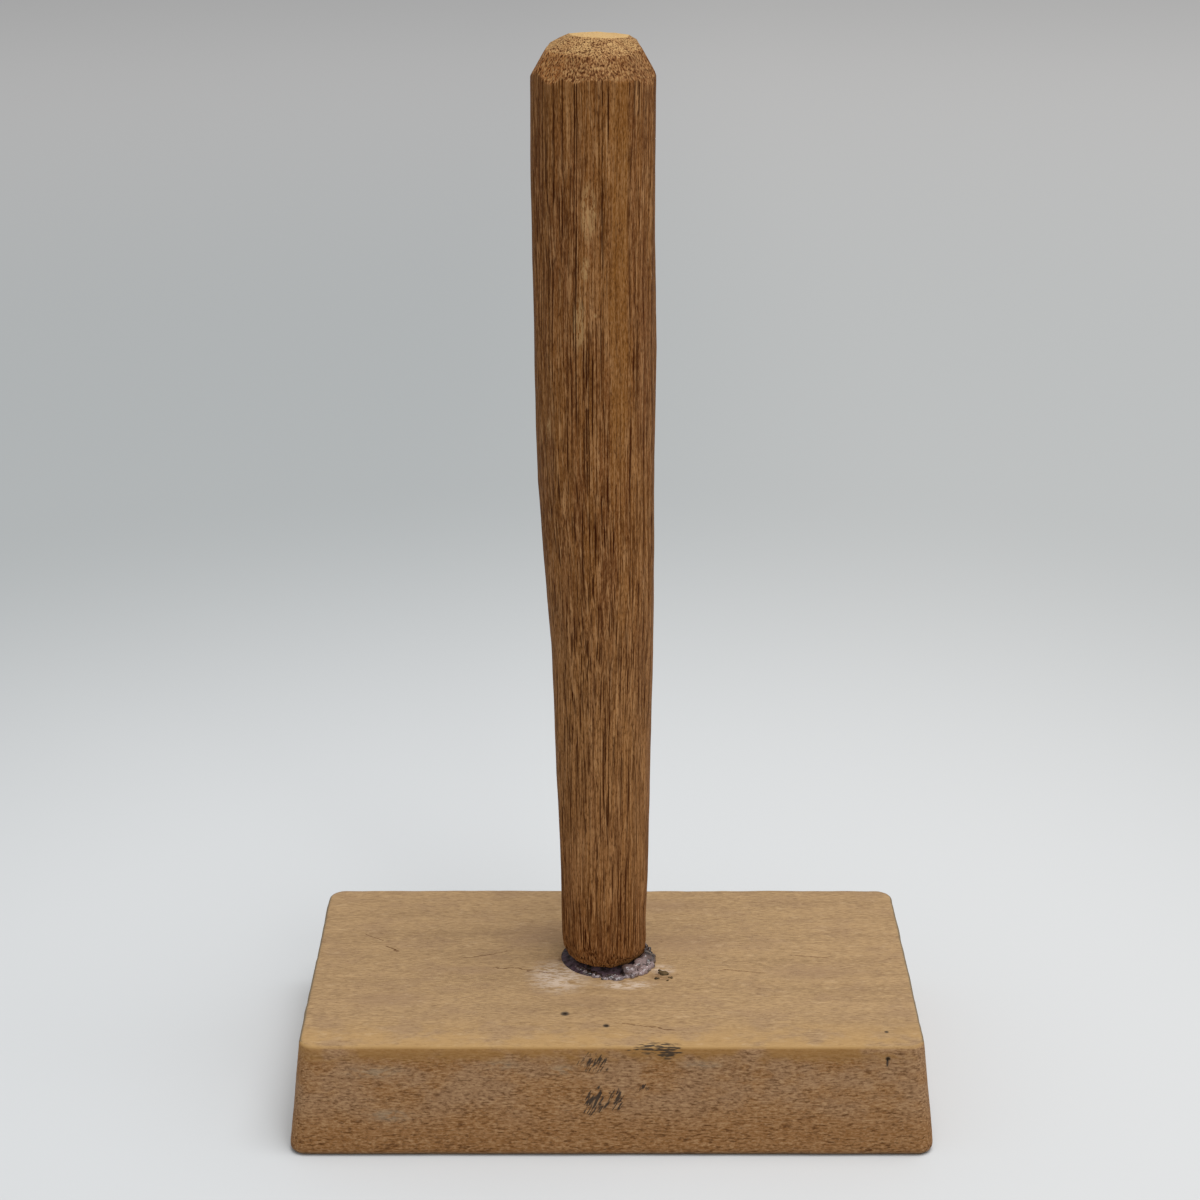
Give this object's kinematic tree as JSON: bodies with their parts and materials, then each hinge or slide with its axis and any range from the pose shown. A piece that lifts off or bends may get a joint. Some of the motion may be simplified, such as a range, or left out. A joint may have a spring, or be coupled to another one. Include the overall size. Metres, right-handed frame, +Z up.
{
  "type": "whittled wooden bat on a stand",
  "caption": "Short tapered wooden bat, hand-whittled in long facets, standing on its foot in a glued round socket in a rectangular wooden block with sloping sides.",
  "frame": {"origin": "centre of the block's flat underside", "axes": "+Z up along the standing bat, +X along the block's length to the right seen from the front, -Y towards the front long side"},
  "size_m": [0.132, 0.077, 0.2202],
  "materials": {
    "block_wood": "bare pale fine-grained wood, sawn and sanded, grain along the length, dull, with a golden band under the front arris",
    "bat_wood": "bare open-grained brown hardwood, knife-cut facets, long dark pores along the length, pale end grain on the crown",
    "dark_glue": "dark brown hardened glue, glossy, with specks",
    "grey_glue": "grey-lilac hardened glue, glassy and lumpy, translucent at its thin edges"
  },
  "bodies": {
    "root": {"base_block": "block_wood", "bat": "bat_wood", "glue_bed": "dark_glue", "glue_collar": "grey_glue", "glue_drops": "grey_glue"}
  },
  "joints": []
}
